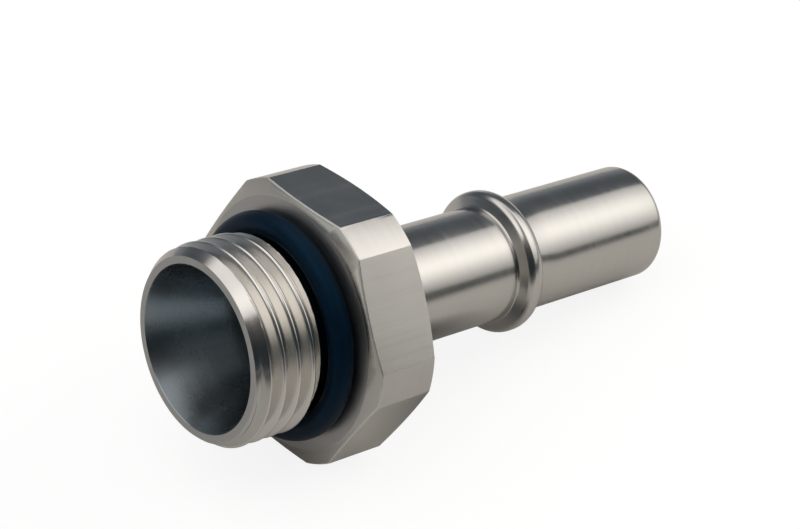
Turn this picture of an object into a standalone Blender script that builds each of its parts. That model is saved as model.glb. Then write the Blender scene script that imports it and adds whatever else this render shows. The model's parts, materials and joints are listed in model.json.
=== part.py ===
"""Quick connect adapter fitting with a rubber sealing ring.

A one-piece turned body carries, from the mouth to the tip, a parallel pipe thread,
a relief groove with the sealing ring, a spanner hexagon, a neck, a rounded bead and
a straight spigot. A cone at the mouth leads into the bore that runs right through.

The pieces are drawn with the turned axis along X, the mouth at X = 0 and one flat of
the hexagon facing down. An empty then lays them down as the fitting comes to rest, on
the hexagon's rear edge and the spigot's tip, with the origin below the middle.
"""

import math

import bmesh
import bpy
from mathutils import Matrix, Vector

# Pipe thread: parallel, right-handed, 14 threads to the inch, rounded form. Its groove leaves
# the mouth's face at an angle, at a share of its depth, and is whole after so many turns
THREAD_MAJOR_D = 0.020955
THREAD_PITCH = 0.001814
THREAD_DEPTH = 0.001162
THREAD_START_ANGLE = math.radians(117.2)
THREAD_START_SHARE = 0.54
THREAD_START_TURNS = 0.9

# Mouth: flat rim, outer lead-in bevel and inner cone
RIM_OUTER_D = 0.01914
MOUTH_D = 0.01746
LEAD_IN_LENGTH = 0.001145
CONE_HALF_ANGLE = math.radians(20)

# Stud length, from the rim to the face that the sealing ring is squeezed against
STUD_LENGTH = 0.01135

# Sealing ring and the relief groove that it sits in
RING_SECTION_D = 0.0026
SEAT_GAP = 0.0003
GROOVE_FREE_WIDTH = 0.00015
GROOVE_BELOW_THREAD = 0.00022
GROOVE_SHOULDER_ANGLE = math.radians(57)
GROOVE_FILLET = 0.00025

# Spanner hexagon: its corners are turned off, its front edge is only broken
HEX_ACROSS_FLATS = 0.0278
HEX_LENGTH = 0.00755
HEX_CORNER_TURNED_OFF = 0.0010
HEX_EDGE_BREAK = 0.00025
HEX_REAR_FACE_STEP = 0.0007
HEX_REAR_CHAMFER = math.radians(20)

# Neck, bead and spigot
SPIGOT_D = 0.0127
BORE_D = 0.0100
NECK_LENGTH = 0.02045
NECK_FILLET = 0.0008
BEAD_D = 0.0157
BEAD_FILLET = 0.0003
BEAD_TO_TIP = 0.0210
TIP_ROUND = 0.0009

# Facets: twelve sides to each sixth of a turn, three of them on a turned-off corner
BAND_STEPS = 3
FLAT_STEPS = 9
LEAD_IN_STEPS = 8
THREAD_STEPS_PER_PITCH = 10
SHOULDER_STEPS = 4
FILLET_STEPS = 3
BEAD_STEPS = 10
TIP_STEPS = 4
RING_STEPS = 60
RING_SECTION_STEPS = 12
SHARP_ANGLE = math.radians(40)

# Sizes that follow from the ones above
thread_major_r = THREAD_MAJOR_D / 2
groove_r = thread_major_r - THREAD_DEPTH - GROOVE_BELOW_THREAD
groove_width = RING_SECTION_D + SEAT_GAP + GROOVE_FREE_WIDTH
hex_flat_r = HEX_ACROSS_FLATS / 2
hex_corner_r = hex_flat_r / math.cos(math.pi / 6) - HEX_CORNER_TURNED_OFF
hex_rear_face_r = hex_flat_r - HEX_REAR_FACE_STEP
hex_rear_x = STUD_LENGTH + HEX_LENGTH
spigot_r = SPIGOT_D / 2
bore_r = BORE_D / 2
bead_x = hex_rear_x + NECK_LENGTH
tip_x = bead_x + BEAD_TO_TIP


def section_angles():
    """Angles of the points of every section: the edges of the hexagon's faces are among them."""
    corner_half_angle = math.pi / 6 - math.acos(hex_flat_r / hex_corner_r)
    flat_angle = math.pi / 3 - 2 * corner_half_angle
    angles = []
    for sixth in range(6):
        corner = sixth * math.pi / 3
        for step in range(BAND_STEPS):
            angles.append(corner + corner_half_angle * (2 * step / BAND_STEPS - 1))
        for step in range(FLAT_STEPS):
            angles.append(corner + corner_half_angle + flat_angle * step / FLAT_STEPS)
    return angles


ANGLES = section_angles()


def turned(x, r):
    """A round section: every point at the same place along the axis and the same radius."""
    return [(x, r)] * len(ANGLES)


def arc(centre_x, centre_r, radius, start, end, steps):
    """Profile points on an arc, with angles counted from the +X direction towards +R."""
    points = []
    for step in range(steps + 1):
        angle = start + (end - start) * step / steps
        points.append((centre_x + radius * math.cos(angle), centre_r + radius * math.sin(angle)))
    return points


def thread_radius(x, angle):
    """Radius of the threaded stud: a rounded groove that winds along a right-handed helix."""
    turned_by = (angle - THREAD_START_ANGLE) / math.tau
    turns = x / THREAD_PITCH - turned_by
    nearest_turn = round(turns)
    across = turns - nearest_turn
    along = (nearest_turn + turned_by) / THREAD_START_TURNS
    share = min(max(THREAD_START_SHARE + (1 - THREAD_START_SHARE) * along, 0.0), 1.0)
    return thread_major_r - THREAD_DEPTH * share * (1 + math.cos(math.tau * across)) / 2


def threaded_section(x, limit_r):
    """A section of the thread, cut down to the radius that a bevel or shoulder leaves there."""
    return [(x, min(thread_radius(x, angle), limit_r)) for angle in ANGLES]


def hexagon_radius(angle):
    """Radius of the hexagon's outline: flats, joined by what is left of the turned-off corners."""
    from_corner = abs((angle + math.pi / 6) % (math.pi / 3) - math.pi / 6)
    return min(hex_corner_r, hex_flat_r / math.cos(math.pi / 6 - from_corner))


def stud_sections():
    """Rim, lead-in bevel, thread and relief groove, up to the hexagon's front face."""
    rim_r = RIM_OUTER_D / 2
    sections = [turned(0, rim_r)]
    for step in range(1, LEAD_IN_STEPS):
        share = step / LEAD_IN_STEPS
        bevel_r = rim_r + (thread_major_r - rim_r) * share
        sections.append(threaded_section(LEAD_IN_LENGTH * share, bevel_r))
    groove_x = STUD_LENGTH - groove_width
    shoulder_x = groove_x - (thread_major_r - groove_r) / math.tan(GROOVE_SHOULDER_ANGLE)
    thread_length = shoulder_x - LEAD_IN_LENGTH
    thread_steps = math.ceil(THREAD_STEPS_PER_PITCH * thread_length / THREAD_PITCH)
    for step in range(thread_steps + 1):
        x = LEAD_IN_LENGTH + thread_length * step / thread_steps
        sections.append(threaded_section(x, thread_major_r))
    for step in range(1, SHOULDER_STEPS + 1):
        share = step / SHOULDER_STEPS
        x = shoulder_x + (groove_x - shoulder_x) * share
        sections.append(threaded_section(x, thread_major_r + (groove_r - thread_major_r) * share))
    corner = arc(STUD_LENGTH - GROOVE_FILLET, groove_r + GROOVE_FILLET, GROOVE_FILLET,
                 -math.pi / 2, 0, FILLET_STEPS)
    return sections + [turned(x, r) for x, r in corner]


def hexagon_sections():
    """Front face with its broken edge, the six flats, and the turned chamfer at the rear."""
    outline = [hexagon_radius(angle) for angle in ANGLES]
    front_edge = [(STUD_LENGTH, r - HEX_EDGE_BREAK) for r in outline]
    front_flats = [(STUD_LENGTH + HEX_EDGE_BREAK, r) for r in outline]
    slope = math.tan(HEX_REAR_CHAMFER)
    rear_flats = [(hex_rear_x - (r - hex_rear_face_r) * slope, r) for r in outline]
    return [front_edge, front_flats, rear_flats, turned(hex_rear_x, hex_rear_face_r)]


def spigot_sections():
    """Neck, bead and spigot, then round the tip into the bore and back to the mouth."""
    profile = arc(hex_rear_x + NECK_FILLET, spigot_r + NECK_FILLET, NECK_FILLET,
                  math.pi, 1.5 * math.pi, FILLET_STEPS)

    bead_r = BEAD_D / 2 - spigot_r
    reach = bead_r + BEAD_FILLET
    fillet_offset = math.sqrt(reach ** 2 - BEAD_FILLET ** 2)
    touch = math.asin(BEAD_FILLET / reach)
    profile += arc(bead_x - fillet_offset, spigot_r + BEAD_FILLET, BEAD_FILLET,
                   -math.pi / 2, -touch, FILLET_STEPS - 1)
    profile += arc(bead_x, spigot_r, bead_r, math.pi - touch, touch, BEAD_STEPS)[1:]
    profile += arc(bead_x + fillet_offset, spigot_r + BEAD_FILLET, BEAD_FILLET,
                   math.pi + touch, 1.5 * math.pi, FILLET_STEPS - 1)[1:]

    profile += arc(tip_x - TIP_ROUND, spigot_r - TIP_ROUND, TIP_ROUND, math.pi / 2, 0, TIP_STEPS)
    profile.append((tip_x, bore_r))
    cone_depth = (MOUTH_D / 2 - bore_r) / math.tan(CONE_HALF_ANGLE)
    profile.append((cone_depth, bore_r))
    profile.append((0, MOUTH_D / 2))
    return [turned(x, r) for x, r in profile]


def close_loft(name, sections, angles):
    """Joins closed sections, the last one to the first, into one closed body around the X axis."""
    form = bmesh.new()
    rows = []
    for section in sections:
        row = []
        for (x, r), angle in zip(section, angles):
            row.append(form.verts.new((x, r * math.cos(angle), r * math.sin(angle))))
        rows.append(row)
    for here, ahead in zip(rows, rows[1:] + rows[:1]):
        for side in range(len(angles)):
            turn = (side + 1) % len(angles)
            form.faces.new((here[side], here[turn], ahead[turn], ahead[side]))
    bmesh.ops.recalc_face_normals(form, faces=form.faces)
    mesh = bpy.data.meshes.new(name)
    form.to_mesh(mesh)
    form.free()
    mesh.shade_smooth()
    mesh.set_sharp_from_angle(angle=SHARP_ANGLE)
    piece = bpy.data.objects.new(name, mesh)
    bpy.context.collection.objects.link(piece)
    return piece


def set_material(piece, name, colour, metallic, roughness):
    """Gives a piece its own surface."""
    material = bpy.data.materials.new(name)
    material.use_nodes = True
    surface = material.node_tree.nodes["Principled BSDF"]
    surface.inputs["Base Color"].default_value = (*colour, 1)
    surface.inputs["Metallic"].default_value = metallic
    surface.inputs["Roughness"].default_value = roughness
    piece.data.materials.append(material)


def make_body():
    """The turned body, from one bar of stainless steel."""
    sections = stud_sections() + hexagon_sections() + spigot_sections()
    body = close_loft("adapter_body", sections, ANGLES)
    set_material(body, "turned_steel", (0.60, 0.57, 0.53), 1.0, 0.28)
    return body


def make_ring():
    """The rubber ring, in the relief groove and against the hexagon's front face."""
    section_r = RING_SECTION_D / 2
    centre_x = STUD_LENGTH - SEAT_GAP - section_r
    centre_r = groove_r + SEAT_GAP + section_r
    sections = []
    for step in range(RING_SECTION_STEPS):
        angle = math.tau * step / RING_SECTION_STEPS
        point = (centre_x + section_r * math.cos(angle), centre_r + section_r * math.sin(angle))
        sections.append([point] * RING_STEPS)
    around = [math.tau * step / RING_STEPS for step in range(RING_STEPS)]
    ring = close_loft("o_ring", sections, around)
    set_material(ring, "black_rubber", (0.012, 0.018, 0.026), 0.0, 0.38)
    return ring


def resting_dip():
    """Dip of the axis towards the tip when the hexagon's rear edge and the round tip touch the floor."""
    edge_x = hex_rear_x - (hex_flat_r - hex_rear_face_r) * math.tan(HEX_REAR_CHAMFER)
    run = tip_x - TIP_ROUND - edge_x
    drop = hex_flat_r - (spigot_r - TIP_ROUND)
    return math.acos(TIP_ROUND / math.hypot(run, drop)) - math.atan2(run, drop)


def lay_down(pieces):
    """Hangs the pieces on an empty that dips the axis and centres the fitting over the origin."""
    lay = bpy.data.objects.new("lay", None)
    bpy.context.collection.objects.link(lay)
    dip = Matrix.Rotation(resting_dip(), 4, "Y")
    corners = [dip @ vertex.co for piece in pieces for vertex in piece.data.vertices]
    low = Vector([min(corner[axis] for corner in corners) for axis in range(3)])
    high = Vector([max(corner[axis] for corner in corners) for axis in range(3)])
    middle = (low + high) / 2
    lay.rotation_euler = dip.to_euler()
    lay.location = (-middle.x, -middle.y, -low.z)
    for piece in pieces:
        piece.parent = lay


def build():
    """Clears the scene and builds the fitting."""
    for old in list(bpy.data.objects):
        bpy.data.objects.remove(old, do_unlink=True)
    lay_down([make_body(), make_ring()])


build()
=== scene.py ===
"""Looks of a quick connect adapter fitting: its turned steel body, its rubber ring, and the studio."""
import json
import math

import bmesh
import bpy
from mathutils import Matrix, Vector


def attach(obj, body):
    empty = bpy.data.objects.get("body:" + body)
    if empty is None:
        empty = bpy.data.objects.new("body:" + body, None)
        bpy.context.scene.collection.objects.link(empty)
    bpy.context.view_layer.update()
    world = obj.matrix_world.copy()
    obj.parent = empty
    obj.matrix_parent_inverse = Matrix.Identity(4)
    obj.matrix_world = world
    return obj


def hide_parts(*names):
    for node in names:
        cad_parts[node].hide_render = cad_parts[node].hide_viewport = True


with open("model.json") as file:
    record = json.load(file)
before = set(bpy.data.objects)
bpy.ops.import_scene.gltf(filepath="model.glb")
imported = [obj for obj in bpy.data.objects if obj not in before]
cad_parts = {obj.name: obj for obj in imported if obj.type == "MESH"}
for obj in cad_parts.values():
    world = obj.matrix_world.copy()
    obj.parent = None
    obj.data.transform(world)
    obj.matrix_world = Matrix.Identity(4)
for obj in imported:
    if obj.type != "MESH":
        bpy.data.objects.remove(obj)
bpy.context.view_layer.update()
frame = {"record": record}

# Where the fitting lies. It rests on its hexagon and its tip, so its turned axis dips. The
# record's mount on the mouth's flat rim gives the axis and the middle of the mouth.
RIM_OUTER_R = 0.00957
MOUTH_R = 0.00873
rim_mount = next(mount for mount in frame["record"]["mounts"] if mount["name"] == "mouth_rim")
axis = -Vector(rim_mount["axis"])
axis_up = Vector((-axis.z, 0, axis.x))
dip = math.atan2(-axis.z, axis.x)
mouth_centre = Vector(rim_mount["pos_m"]) - axis_up * (RIM_OUTER_R + MOUTH_R) / 2


# Camera: a long lens to the left of the mouth, looking down at the fitting. It comes first,
# because everything else is judged from here.
CAMERA_LENS = 112.0
CAMERA_SENSOR = 36.0
CAMERA_PLACE = (-0.13814, -0.16250, 0.16754)
CAMERA_AZIMUTH = math.radians(39.73)
CAMERA_ELEVATION = math.radians(35.78)
CAMERA_ROLL = math.radians(-0.24)

camera = bpy.data.objects.new("camera", bpy.data.cameras.new("camera"))
bpy.context.collection.objects.link(camera)
camera.data.lens = CAMERA_LENS
camera.data.sensor_width = CAMERA_SENSOR
camera.data.clip_start = 0.01
camera.data.clip_end = 20.0
camera.matrix_world = (
    Matrix.Translation(CAMERA_PLACE)
    @ Matrix.Rotation(-CAMERA_AZIMUTH, 4, "Z")
    @ Matrix.Rotation(math.pi / 2 - CAMERA_ELEVATION, 4, "X")
    @ Matrix.Rotation(CAMERA_ROLL, 4, "Z")
)
bpy.context.scene.camera = camera


# Body: a length of drawn hexagon bar in stainless steel, turned on a lathe and bored through. From
# its mouth it has a lead-in bevel, a pipe thread, a relief groove, a spanner hexagon with its
# corners turned off, a neck, and a smooth spigot with a bead.
LEAD_IN_LENGTH = 0.001145
LEAD_IN_SLOPE = 0.67
THREAD_MAJOR_R = 0.0104775
THREAD_PITCH = 0.001814
THREAD_DEPTH = 0.001162
THREAD_CREST_R = 0.000249
THREAD_FLANK = math.radians(27.5)
THREAD_START_ANGLE = math.radians(117.2)
THREAD_START_SHARE = 0.54
THREAD_START_TURNS = 0.9
GROOVE_SHOULDER_X = 0.0074025
GROOVE_X = 0.00830
GROOVE_R = 0.0090955
GROOVE_FILLET = 0.00025
HEX_FACE_X = 0.01106
HEX_FACE_R = 0.0133
HEX_FRONT_X = 0.01146
HEX_REAR_X = 0.01890
HEX_FLAT_R = 0.01385
HEX_CORNER_R = 0.0150
HEX_REAR_FACE_R = 0.0132
HEX_REAR_CHAMFER = math.radians(20)
NECK_FILLET = 0.0008
SPIGOT_R = 0.00635
BEAD_X = 0.03935
BEAD_R = 0.00785
BEAD_SLOPE = math.radians(66)
BEAD_CREST_ROUND = 0.00085
BEAD_CREST_LAND = 0.0003
BEAD_FILLET = 0.0003
TIP_X = 0.060334
TIP_ROUND = 0.0009
TIP_INNER_BREAK = 0.0002
BORE_R = 0.0050
CONE_HALF_ANGLE = math.radians(20)
RIM_BREAK = 0.00008
BODY_SIDES = 240
THREAD_RING_STEP = 0.00005
PLAIN_RING_STEP = 0.003


def arc(centre_x, centre_r, radius, start, end, steps):
    """Profile points on an arc, with angles counted from the +X direction towards +R."""
    angles = [start + (end - start) * step / steps for step in range(steps + 1)]
    return [(centre_x + radius * math.cos(angle), centre_r + radius * math.sin(angle)) for angle in angles]


def line(start, end, longest_step):
    """Profile points on a straight stretch, without its first one."""
    length = math.dist(start, end)
    steps = max(1, math.ceil(length / longest_step))
    return [tuple(a + (b - a) * step / steps for a, b in zip(start, end)) for step in range(1, steps + 1)]


def bead_profile():
    """The bead: a filleted foot, a steep straight front, a round crest with a land, and a round rear."""
    crest_x = BEAD_X - BEAD_CREST_LAND
    crest_r = BEAD_R - BEAD_CREST_ROUND
    crest = arc(crest_x, crest_r, BEAD_CREST_ROUND, math.pi / 2 + BEAD_SLOPE, math.pi / 2, 12)
    front_x, front_r = crest[0]
    front_length = (front_r - SPIGOT_R) / math.tan(BEAD_SLOPE)
    foot_x = front_x - front_length - BEAD_FILLET * math.tan(BEAD_SLOPE / 2)
    near = arc(foot_x, SPIGOT_R + BEAD_FILLET, BEAD_FILLET, -math.pi / 2, BEAD_SLOPE - math.pi / 2, 5)

    rear_r = BEAD_R - SPIGOT_R
    reach = rear_r + BEAD_FILLET
    touch = math.asin(BEAD_FILLET / reach)
    far_x = BEAD_X + math.sqrt(reach ** 2 - BEAD_FILLET ** 2)
    rear = arc(BEAD_X, SPIGOT_R, rear_r, math.pi / 2, touch, 14)
    far = arc(far_x, SPIGOT_R + BEAD_FILLET, BEAD_FILLET, math.pi + touch, 1.5 * math.pi, 4)
    return near + crest + rear + far[1:]


def body_profile():
    """The turned profile, from the rim along the outside to the tip, and back through the bore."""
    points = arc(RIM_BREAK, RIM_OUTER_R - RIM_BREAK, RIM_BREAK, math.pi, math.pi / 2 + LEAD_IN_SLOPE, 3)
    stud = [(LEAD_IN_LENGTH, THREAD_MAJOR_R), (GROOVE_SHOULDER_X, THREAD_MAJOR_R), (GROOVE_X, GROOVE_R)]
    for corner in stud:
        points += line(points[-1], corner, THREAD_RING_STEP)

    points += arc(HEX_FACE_X - GROOVE_FILLET, GROOVE_R + GROOVE_FILLET, GROOVE_FILLET, -math.pi / 2, 0, 5)
    chamfer_x = HEX_REAR_X - (HEX_CORNER_R - HEX_REAR_FACE_R) * math.tan(HEX_REAR_CHAMFER)
    drum_front = [(HEX_FACE_X, HEX_FACE_R), (HEX_FRONT_X, HEX_CORNER_R)]
    drum_rear = [(chamfer_x, HEX_CORNER_R), (HEX_REAR_X, HEX_REAR_FACE_R)]
    for corner in drum_front + drum_rear:
        points += line(points[-1], corner, PLAIN_RING_STEP)

    points += arc(HEX_REAR_X + NECK_FILLET, SPIGOT_R + NECK_FILLET, NECK_FILLET, math.pi, 1.5 * math.pi, 8)
    tip = arc(TIP_X - TIP_ROUND, SPIGOT_R - TIP_ROUND, TIP_ROUND, math.pi / 2, 0, 10)
    for stretch in (bead_profile(), tip):
        points += line(points[-1], stretch[0], PLAIN_RING_STEP) + stretch[1:]

    points += [(TIP_X, BORE_R + TIP_INNER_BREAK), (TIP_X - TIP_INNER_BREAK, BORE_R)]
    cone_depth = (MOUTH_R - BORE_R) / math.tan(CONE_HALF_ANGLE)
    cone_rise = RIM_BREAK * math.tan(CONE_HALF_ANGLE)
    for corner in ((cone_depth, BORE_R), (RIM_BREAK, MOUTH_R - cone_rise)):
        points += line(points[-1], corner, PLAIN_RING_STEP)
    return points + [(0, MOUTH_R + cone_rise)]


def thread_form(from_crest):
    """Depth below the crest at a distance from its middle: round crest, straight flank, round root."""
    half_pitch = THREAD_PITCH / 2
    if from_crest > half_pitch / 2:
        return THREAD_DEPTH - thread_form(half_pitch - from_crest)
    if from_crest > THREAD_CREST_R * math.cos(THREAD_FLANK):
        return THREAD_DEPTH / 2 - (half_pitch / 2 - from_crest) / math.tan(THREAD_FLANK)
    return THREAD_CREST_R - math.sqrt(THREAD_CREST_R ** 2 - from_crest ** 2)


def thread_radius(x, angle):
    """Radius that the thread's groove leaves: it winds right-handed from the mouth and deepens."""
    turned_by = (angle - THREAD_START_ANGLE) / math.tau
    turns = x / THREAD_PITCH - turned_by
    nearest_turn = round(turns)
    from_crest = THREAD_PITCH * (0.5 - abs(turns - nearest_turn))
    along = (nearest_turn + turned_by) / THREAD_START_TURNS
    share = min(max(THREAD_START_SHARE + (1 - THREAD_START_SHARE) * along, 0.0), 1.0)
    return THREAD_MAJOR_R - thread_form(from_crest) * share


profile = body_profile()
bpy.ops.object.select_all(action="DESELECT")
bpy.ops.mesh.primitive_circle_add(
    vertices=BODY_SIDES, radius=profile[0][1], location=(profile[0][0], 0, 0), rotation=(0, math.pi / 2, 0)
)
body = bpy.context.object
body.name = body.data.name = "turned_body"
bpy.ops.object.transform_apply(location=True, rotation=True, scale=True)

bpy.ops.object.mode_set(mode="EDIT")
bpy.ops.mesh.select_all(action="SELECT")
for (x, r), (next_x, next_r) in zip(profile, profile[1:]):
    bpy.ops.mesh.extrude_region_move(TRANSFORM_OT_translate={"value": (next_x - x, 0, 0)})
    bpy.ops.transform.resize(value=(1, next_r / r, next_r / r), center_override=(0, 0, 0))
bpy.ops.mesh.select_all(action="DESELECT")
bpy.ops.mesh.select_non_manifold()
bpy.ops.mesh.bridge_edge_loops()
bpy.ops.mesh.select_all(action="SELECT")
bpy.ops.mesh.normals_make_consistent(inside=False)

# The flats are the drawn bar's own. Here six cuts through the turned drum make them, and leave a
# turned stripe at each corner.
for sixth in range(6):
    angle = math.pi / 6 + sixth * math.pi / 3
    normal = Vector((0, math.cos(angle), math.sin(angle)))
    bpy.ops.mesh.select_all(action="SELECT")
    bpy.ops.mesh.bisect(
        plane_co=normal * HEX_FLAT_R, plane_no=normal, use_fill=True, clear_outer=True, threshold=1e-7
    )

# A file takes the sharpness off the hexagon's edges, a little more of it round the front.
HEX_FRONT_BREAK = 0.00015
HEX_EDGE_BREAK = 0.00012
FRONT_BREAK_REACH = 1.2 * HEX_FRONT_BREAK
FRONT_EDGE_BEND = math.radians(45)
HEX_EDGE_BEND = math.radians(12)
TOLERANCE = 1e-6


def select_edges(mesh_object, wanted):
    """Selects the edges that a test on their middle and on the angle between their faces picks."""
    bpy.ops.mesh.select_mode(type="EDGE")
    bpy.ops.mesh.select_all(action="DESELECT")
    form = bmesh.from_edit_mesh(mesh_object.data)
    for edge in form.edges:
        middle = (edge.verts[0].co + edge.verts[1].co) / 2
        edge.select_set(len(edge.link_faces) == 2 and wanted(middle, edge.calc_face_angle(0)))
    bmesh.update_edit_mesh(mesh_object.data)


def is_hexagon_front_edge(middle, bend):
    """The front outline of the hexagon, where its chamfer meets the flats and the turned stripes."""
    in_front = HEX_FACE_X < middle.x < HEX_FRONT_X + TOLERANCE
    return in_front and math.hypot(middle.y, middle.z) > HEX_FACE_R - TOLERANCE and bend > FRONT_EDGE_BEND


def is_hexagon_edge(middle, bend):
    """The edges between the flats, the turned stripes, the rear chamfer and the rear face."""
    behind = HEX_FRONT_X + FRONT_BREAK_REACH < middle.x < HEX_REAR_X + TOLERANCE
    return behind and math.hypot(middle.y, middle.z) > HEX_REAR_FACE_R - TOLERANCE and bend > HEX_EDGE_BEND


# Each tool leaves its own finish, each finish a material of the body; the bore's has painted shade.
FINISHES = ("turned_steel", "threaded_steel", "bored_steel_and_painted_shade", "faced_steel", "drawn_steel", "rubbed_steel")
TURNED, THREADED, BORED_AND_SHADED, FACED, DRAWN, RUBBED = range(len(FINISHES))
for name in FINISHES:
    body.data.materials.append(bpy.data.materials.new(name))

select_edges(body, is_hexagon_front_edge)
bpy.ops.mesh.bevel(offset=HEX_FRONT_BREAK, segments=3, affect="EDGES", clamp_overlap=False, material=RUBBED)
select_edges(body, is_hexagon_edge)
bpy.ops.mesh.bevel(offset=HEX_EDGE_BREAK, segments=2, affect="EDGES", clamp_overlap=True, material=RUBBED)

# The thread is cut last, and only into the wall of the stud in front of the relief groove.
form = bmesh.from_edit_mesh(body.data)
for vertex in form.verts:
    x, y, z = vertex.co
    r = math.hypot(y, z)
    if x < GROOVE_X + TOLERANCE and r > GROOVE_R - TOLERANCE:
        cut_r = thread_radius(x, math.atan2(z, y) % math.tau)
        if cut_r < r:
            vertex.co = (x, y * cut_r / r, z * cut_r / r)

# The other finishes go by the faces' place, normal and area. The rest stays turned.
WALL_FACING = 0.2
SQUARE_ON = 0.98
FLAT_AREA = 4e-5
form.normal_update()
for face in form.faces:
    if face.material_index != TURNED:
        continue
    middle = face.calc_center_median()
    radius = math.hypot(middle.y, middle.z)
    outward = (face.normal.y * middle.y + face.normal.z * middle.z) / radius
    if outward < -WALL_FACING:
        face.material_index = BORED_AND_SHADED
    elif LEAD_IN_LENGTH < middle.x < GROOVE_X and radius > GROOVE_R and outward > WALL_FACING:
        face.material_index = THREADED
    elif face.normal.x < -SQUARE_ON:
        face.material_index = FACED
    elif HEX_FRONT_X < middle.x < HEX_REAR_X and radius > HEX_REAR_FACE_R and face.calc_area() > FLAT_AREA:
        face.material_index = DRAWN
bmesh.update_edit_mesh(body.data)
bpy.ops.object.mode_set(mode="OBJECT")

bpy.ops.object.shade_smooth_by_angle(angle=math.radians(35))
body.rotation_euler = (0, dip, 0)
body.location = mouth_centre
bpy.ops.object.transform_apply(location=True, rotation=True, scale=True)
weighted = body.modifiers.new("weighted normals", "WEIGHTED_NORMAL")
weighted.mode = "FACE_AREA"
weighted.keep_sharp = True
bpy.ops.object.modifier_apply(modifier=weighted.name)


class Wire:
    """A socket of a material or world, so that values in it are worked out by plain arithmetic."""

    def __init__(self, socket):
        self.socket = socket

    @classmethod
    def node(cls, tree, kind, settings, inputs, output=0):
        """Adds a node: its settings first, with a ramp's stops among them, and then its sockets."""
        made = tree.nodes.new(kind)
        for name, value in settings.items():
            if name == "stops":
                while len(made.color_ramp.elements) < len(value):
                    made.color_ramp.elements.new(1.0)
                for element, (place, colour) in zip(made.color_ramp.elements, value):
                    element.position = place
                    element.color = colour
            else:
                setattr(made, name, value)
        for name, value in inputs.items():
            if isinstance(value, Wire):
                tree.links.new(value.socket, made.inputs[name])
            else:
                made.inputs[name].default_value = value
        return cls(made.outputs[output])

    def maths(self, operation, *values):
        """A Math node on values, or on this one where none are given."""
        inputs = dict(enumerate(values or (self,)))
        return Wire.node(self.socket.id_data, "ShaderNodeMath", {"operation": operation}, inputs)

    def __add__(self, other):
        return self.maths("ADD", self, other)

    def __radd__(self, other):
        return self.maths("ADD", other, self)

    def __sub__(self, other):
        return self.maths("SUBTRACT", self, other)

    def __rsub__(self, other):
        return self.maths("SUBTRACT", other, self)

    def __mul__(self, other):
        return self.maths("MULTIPLY", self, other)

    def __rmul__(self, other):
        return self.maths("MULTIPLY", other, self)

    def __truediv__(self, other):
        return self.maths("DIVIDE", self, other)

    def __rtruediv__(self, other):
        return self.maths("DIVIDE", other, self)


def along_fitting(tree):
    """The place on the fitting, counted from its mouth with X along its turned axis."""
    place = Wire.node(tree, "ShaderNodeTexCoord", {}, {}, "Object")
    inputs = {"Vector": place, "Location": mouth_centre, "Rotation": (0, dip, 0)}
    return Wire.node(tree, "ShaderNodeMapping", {"vector_type": "TEXTURE"}, inputs)


def split(vector, names):
    """The named parts of a vector, such as XY."""
    tree = vector.socket.id_data
    return [Wire.node(tree, "ShaderNodeSeparateXYZ", {}, {0: vector}, name) for name in names]


def noise(place, scale, detail):
    """Soft noise about 0.5 that varies with the place."""
    inputs = {"Vector": place, "Scale": scale, "Detail": detail}
    return Wire.node(place.socket.id_data, "ShaderNodeTexNoise", {}, inputs)


MARK_DRIFT = 70.0
MARK_RADIAL_SHARE = 0.8
FINE_MARK_SCALE = 1.0
COARSE_MARK_SCALE = 0.16
CLOUD_SCALE = 260.0
FINE_RELIEF = 0.6
CLOUD_WEAR = 0.14
COARSE_WEAR = 0.10
FINE_WEAR = 0.05
TONE_SPREAD = 0.10


def machined_steel(steel, colour, roughness, spacing, height, drawn=False):
    """Bare steel with a tool's fine parallel marks: round the axis, or along it on drawn bar."""
    steel.use_nodes = True
    tree = steel.node_tree
    surface = tree.nodes["Principled BSDF"]
    surface.inputs["Metallic"].default_value = 1.0

    place = along_fitting(tree)
    x, y, z = split(place, "XYZ")
    if drawn:
        across = z.maths("ARCTAN2", z, y) * HEX_FLAT_R
        along = x
    else:
        across = x + (y * y + z * z).maths("SQRT") * MARK_RADIAL_SHARE
        along = y + z
    lines = Wire.node(tree, "ShaderNodeCombineXYZ", {}, {
        "X": across / spacing, "Y": along * MARK_DRIFT, "Z": z * MARK_DRIFT,
    })
    fine = noise(lines, FINE_MARK_SCALE, detail=2.0)
    coarse = noise(lines, COARSE_MARK_SCALE, detail=1.0)
    clouds = noise(place, CLOUD_SCALE, detail=3.0)

    worn = (clouds - 0.5) * CLOUD_WEAR + (coarse - 0.5) * COARSE_WEAR + (fine - 0.5) * FINE_WEAR
    tree.links.new((worn + roughness).socket, surface.inputs["Roughness"])

    tone = 1 + (coarse - 0.5) * TONE_SPREAD + (clouds - 0.5) * TONE_SPREAD
    shade = Wire.node(tree, "ShaderNodeVectorMath", {"operation": "SCALE"}, {0: colour, "Scale": tone})
    tree.links.new(shade.socket, surface.inputs["Base Color"])

    relief = fine * FINE_RELIEF + coarse
    marks = Wire.node(tree, "ShaderNodeBump", {}, {"Height": relief, "Distance": height, "Strength": 1.0})
    tree.links.new(marks.socket, surface.inputs["Normal"])


steels = body.data.materials
machined_steel(steels[TURNED], (0.53, 0.515, 0.495), roughness=0.18, spacing=0.00012, height=2.5e-6)
machined_steel(steels[THREADED], (0.69, 0.67, 0.64), roughness=0.22, spacing=0.00010, height=3e-6)
# The bore's darker, bluer colour is painted shade in the hollow, over its own bored marks.
machined_steel(steels[BORED_AND_SHADED], (0.27, 0.305, 0.33), roughness=0.27, spacing=0.00030, height=4e-6)
machined_steel(steels[FACED], (0.46, 0.455, 0.45), roughness=0.40, spacing=0.00012, height=4e-6)
machined_steel(steels[DRAWN], (0.62, 0.60, 0.57), roughness=0.19, spacing=0.00018, height=3e-6, drawn=True)
machined_steel(steels[RUBBED], (0.70, 0.68, 0.65), roughness=0.50, spacing=0.00012, height=1e-6)
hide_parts("adapter_body")
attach(body, "root")


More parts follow.
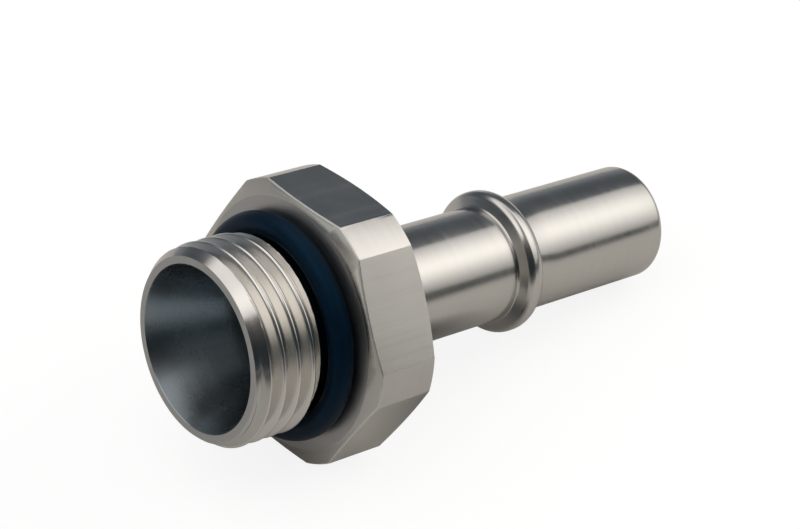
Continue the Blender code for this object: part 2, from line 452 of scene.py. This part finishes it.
# Sealing ring: moulded nitrile rubber, sprung over the thread into the relief groove, where it
# lies against the hexagon's front face.
RING_SECTION_R = 0.0013
RING_CENTRE_X = 0.00975
RING_CENTRE_R = 0.0106955
PARTING_HALF_WIDTH = 0.00007
PARTING_HEIGHT = 1.2e-5
GRAIN_SCALE = 9000.0
GRAIN_RELIEF = 0.15
BLOOM_SCALE = 420.0
# Painted shade colour: the navy in the dark and bloom tones and the blue gloss tint stand in for the bluish
# cast of shade on the ring, over the rubber's own black and its random bloom.
RUBBER_DARK = (0.0008, 0.0060, 0.016, 1)
RUBBER_BLOOM = (0.0018, 0.0105, 0.025, 1)
RUBBER_GLOSS = 0.2
RUBBER_GLOSS_TINT = (0.2, 0.6, 1.0, 1)
RUBBER_ROUGHNESS = 0.36
BLOOM_ROUGHNESS = 0.16


def mixed(share, first, second):
    """The first colour, with a share of the second one."""
    inputs = {0: share, 6: first, 7: second}
    return Wire.node(share.socket.id_data, "ShaderNodeMix", {"data_type": "RGBA"}, inputs, 2)


bpy.ops.object.select_all(action="DESELECT")
bpy.ops.mesh.primitive_torus_add(
    major_radius=RING_CENTRE_R, minor_radius=RING_SECTION_R, major_segments=240, minor_segments=48,
    location=(RING_CENTRE_X, 0, 0), rotation=(0, math.pi / 2, 0)
)
ring = bpy.context.object
ring.name = ring.data.name = "sealing_ring"
bpy.ops.object.transform_apply(location=True, rotation=True, scale=True)
bpy.ops.object.shade_smooth()
ring.rotation_euler = (0, dip, 0)
ring.location = mouth_centre
bpy.ops.object.transform_apply(location=True, rotation=True, scale=True)

rubber = bpy.data.materials.new("black_rubber")
rubber.use_nodes = True
tree = rubber.node_tree
surface = tree.nodes["Principled BSDF"]
surface.inputs["Specular IOR Level"].default_value = RUBBER_GLOSS
# The blue gloss tint is painted: it gives the ring's reflections the bluish cast of shade.
surface.inputs["Specular Tint"].default_value = RUBBER_GLOSS_TINT
place = along_fitting(tree)
bloom = noise(place, BLOOM_SCALE, detail=4.0)
grain = noise(place, GRAIN_SCALE, detail=2.0)
[x] = split(place, "X")
from_parting = (x - RING_CENTRE_X).maths("ABSOLUTE") / PARTING_HALF_WIDTH
parting = x.maths("MAXIMUM", 0.0, 1 - from_parting)
shade = mixed(bloom, RUBBER_DARK, RUBBER_BLOOM)
tree.links.new(shade.socket, surface.inputs["Base Color"])
worn = RUBBER_ROUGHNESS + bloom * BLOOM_ROUGHNESS
tree.links.new(worn.socket, surface.inputs["Roughness"])
relief = grain * GRAIN_RELIEF + parting
skin = Wire.node(tree, "ShaderNodeBump", {}, {"Height": relief, "Distance": PARTING_HEIGHT})
tree.links.new(skin.socket, surface.inputs["Normal"])
ring.data.materials.append(rubber)
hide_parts("o_ring")
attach(ring, "root")


# Floor and backdrop: plain white sheets that run into one another. Only the camera and reflections
# see their white, which the floor adds to the light that falls on it, so its soft shadow stays.
FLOOR_SIZE = 8.0
FLOOR_COLOUR = (0.18, 0.18, 0.18, 1)
FLOOR_GLOW = 0.86
BACKDROP_LIGHT = 0.45
WHITE = (1, 1, 1, 1)


def seen_directly(tree):
    """1 for the rays that show the background itself: from the camera, a reflection or glass."""
    rays = [Wire.node(tree, "ShaderNodeLightPath", {}, {}, name)
            for name in ("Is Camera Ray", "Is Glossy Ray", "Is Transmission Ray")]
    return rays[0] + rays[1] + rays[2]


bpy.ops.object.select_all(action="DESELECT")
bpy.ops.mesh.primitive_plane_add(size=FLOOR_SIZE, location=(0, 0, 0))
floor = bpy.context.object
floor.name = "floor"
sheet = bpy.data.materials.new("white_sheet")
sheet.use_nodes = True
surface = sheet.node_tree.nodes["Principled BSDF"]
surface.inputs["Base Color"].default_value = FLOOR_COLOUR
surface.inputs["Roughness"].default_value = 1.0
surface.inputs["Specular IOR Level"].default_value = 0.0
surface.inputs["Emission Color"].default_value = WHITE
glow = seen_directly(sheet.node_tree) * FLOOR_GLOW
sheet.node_tree.links.new(glow.socket, surface.inputs["Emission Strength"])
floor.data.materials.append(sheet)

world = bpy.data.worlds.new("studio")
world.use_nodes = True
backdrop = world.node_tree.nodes["Background"]
backdrop.inputs["Color"].default_value = WHITE
light = seen_directly(world.node_tree) * (1 - BACKDROP_LIGHT) + BACKDROP_LIGHT
world.node_tree.links.new(light.socket, backdrop.inputs["Strength"])
bpy.context.scene.world = world
bpy.context.scene.view_settings.view_transform = "Standard"


# Lamps: two large softboxes, as for a photo of bright metal. A warm one stands low on the right,
# and a cooler one hangs high on the left.
MIDDLE = Vector((0, 0, 0.014))
WATTS_FOR_RADIANCE = 4


def direction(azimuth, elevation):
    """Unit vector in degrees: azimuth 0 is +Y and 90 is +X, and elevation is above the horizon."""
    turn = math.radians(azimuth)
    rise = math.radians(elevation)
    return Vector((math.sin(turn) * math.cos(rise), math.cos(turn) * math.cos(rise), math.sin(rise)))


def soft_lamp(name, azimuth, elevation, distance, width, height, radiance, colour, falloff, hot_spot):
    """A softbox that faces the fitting: brightest at a spot of its cloth, dimmer towards its edges."""
    lamp = bpy.data.objects.new(name, bpy.data.lights.new(name, "AREA"))
    bpy.context.collection.objects.link(lamp)
    lamp.data.shape = "RECTANGLE"
    lamp.data.size = width
    lamp.data.size_y = height
    lamp.data.energy = WATTS_FOR_RADIANCE * radiance * width * height
    lamp.data.color = colour
    lamp.data.use_nodes = True
    tree = lamp.data.node_tree
    u, v = split(Wire.node(tree, "ShaderNodeNewGeometry", {}, {}, "Parametric"), "XY")
    right = u * 2 - (1 + hot_spot[0])
    up = v * 2 - (1 + hot_spot[1])
    strength = 1 / (1 + (right * right + up * up) * falloff)
    tree.links.new(strength.socket, tree.nodes["Emission"].inputs["Strength"])
    away = direction(azimuth, elevation)
    lamp.matrix_world = Matrix.LocRotScale(MIDDLE + away * distance, away.to_track_quat("Z", "Y"), None)


soft_lamp(
    "key_lamp", azimuth=114, elevation=30, distance=0.60, width=0.68, height=0.62,
    radiance=1.40, colour=(1.0, 0.965, 0.91), falloff=1.4, hot_spot=(-0.12, 0.06)
)
soft_lamp(
    "top_lamp", azimuth=-70, elevation=68, distance=0.60, width=0.84, height=0.80,
    radiance=1.16, colour=(1.0, 0.98, 0.95), falloff=2.0, hot_spot=(0.5, -0.1)
)


# Room wall: a dome round the table, glowing with the studio's painted light and shade, which only
# the steel and the ring mirror. Its painted lit side, at the back on the right, has a painted bright
# band high up. The other side is painted dark, but for a painted light card on the left.
WALL_R = 1.2
LIT_TONES = [
    (0.00, (0.27, 0.29, 0.31, 1)),
    (0.14, (0.25, 0.27, 0.29, 1)),
    (0.28, (0.125, 0.145, 0.165, 1)),
    (0.42, (0.10, 0.118, 0.135, 1)),
    (0.56, (0.12, 0.137, 0.155, 1)),
    (0.68, (0.22, 0.22, 0.23, 1)),
    (0.76, (1.00, 0.98, 0.95, 1)),
    (0.88, (0.92, 0.90, 0.87, 1)),
    (0.96, (0.50, 0.49, 0.48, 1)),
]
UNLIT_TONES = [
    (0.00, (0.030, 0.040, 0.046, 1)),
    (0.38, (0.024, 0.034, 0.040, 1)),
    (0.64, (0.10, 0.095, 0.09, 1)),
    (0.80, (0.32, 0.31, 0.30, 1)),
]
LIT_TOWARDS = (0.55, 0.85)
LIT_BASE = 0.42
LIT_RATE = 2.2
CARD_TOWARDS = (-0.91, 0.41)
CARD_EDGE = 0.90
CARD_RATE = 11
CARD_PAINTED_LIGHT = (0.72, 0.75, 0.70, 1)


def reflected_only(made, material):
    """Sets a stage object so that the camera, the light and the shadows pass through it."""
    made.data.materials.append(material)
    made.visible_camera = False
    made.visible_diffuse = False
    made.visible_transmission = False
    made.visible_shadow = False


bpy.ops.object.select_all(action="DESELECT")
bpy.ops.mesh.primitive_uv_sphere_add(segments=64, ring_count=48, radius=WALL_R, location=(0, 0, 0))
wall = bpy.context.object
wall.name = "room_wall_painted_light"
bpy.ops.object.mode_set(mode="EDIT")
form = bmesh.from_edit_mesh(wall.data)
below_floor = [face for face in form.faces if face.calc_center_median().z < 0]
bmesh.ops.delete(form, geom=below_floor, context="FACES")
bmesh.update_edit_mesh(wall.data)
bpy.ops.object.mode_set(mode="OBJECT")

paint = bpy.data.materials.new("room_wall_painted_light")
paint.use_nodes = True
tree = paint.node_tree
x, y, z = split(Wire.node(tree, "ShaderNodeTexCoord", {}, {}, "Object"), "XYZ")
height = z / WALL_R
lit = Wire.node(tree, "ShaderNodeValToRGB", {"stops": LIT_TONES}, {0: height})
unlit = Wire.node(tree, "ShaderNodeValToRGB", {"stops": UNLIT_TONES}, {0: height})
towards_lit = (x * LIT_TOWARDS[0] + y * LIT_TOWARDS[1]) / WALL_R
tone = mixed(LIT_BASE + towards_lit * LIT_RATE, unlit, lit)
towards_card = (x * CARD_TOWARDS[0] + y * CARD_TOWARDS[1]) / WALL_R
tone = mixed((towards_card - CARD_EDGE) * CARD_RATE, tone, CARD_PAINTED_LIGHT)
surface = tree.nodes["Principled BSDF"]
surface.inputs["Base Color"].default_value = (0, 0, 0, 1)
surface.inputs["Specular IOR Level"].default_value = 0.0
# The dome glows with these painted lit and unlit tones and its painted light card, though it is no lamp.
surface.inputs["Emission Strength"].default_value = 1.0
tree.links.new(tone.socket, surface.inputs["Emission Color"])
reflected_only(wall, paint)


# Table top: a matt grey board that the fitting lies on, mirrored by the steel and the ring alone.
# Painted light makes it lighter and warmer on the right; it is darker at its near end, and has a
# painted shadow under the neck.
TABLE_SIZE = 1.2
TABLE_LIFT = 0.00005
BOARD_LEFT = (0.52, 0.51, 0.50, 1)
BOARD_RIGHT = (0.75, 0.725, 0.685, 1)
BOARD_RIGHT_SHARE = 0.90
BOARD_RIGHT_RATE = 10
BOARD_RIGHT_TILT = 0.3
BOARD_SHADE = (0.10, 0.105, 0.11, 1)
BOARD_END_Y = 0.05
BOARD_END_SOFTNESS = 0.06
# Where the painted shadow under the neck lies, how wide it is, and how strongly it darkens.
UNDER_NECK = (-0.002, -0.010)
UNDER_NECK_R = 0.011
UNDER_NECK_SHARE = 1.1

bpy.ops.object.select_all(action="DESELECT")
bpy.ops.mesh.primitive_plane_add(size=TABLE_SIZE, location=(0, 0, TABLE_LIFT))
table_top = bpy.context.object
table_top.name = "table_top"
bpy.ops.object.transform_apply(location=True, rotation=True, scale=True)

board = bpy.data.materials.new("grey_board")
board.use_nodes = True
tree = board.node_tree
x, y = split(Wire.node(tree, "ShaderNodeTexCoord", {}, {}, "Object"), "XY")
# Painted light: the board's tone is lighter and warmer towards the right, where the warm key lamp stands.
tone = mixed(BOARD_RIGHT_SHARE + (x + y * BOARD_RIGHT_TILT) * BOARD_RIGHT_RATE, BOARD_LEFT, BOARD_RIGHT)
# Darker towards its near end.
tone = mixed((y + BOARD_END_Y) / -BOARD_END_SOFTNESS, tone, BOARD_SHADE)
# Painted shadow: the board turns to its dark tone close under the neck, where the fitting shades it.
aside = x - UNDER_NECK[0]
before = y - UNDER_NECK[1]
from_neck = (aside * aside + before * before).maths("SQRT")
tone = mixed(UNDER_NECK_SHARE - from_neck / UNDER_NECK_R, tone, BOARD_SHADE)
surface = tree.nodes["Principled BSDF"]
surface.inputs["Roughness"].default_value = 1.0
surface.inputs["Specular IOR Level"].default_value = 0.0
tree.links.new(tone.socket, surface.inputs["Base Color"])
reflected_only(table_top, board)
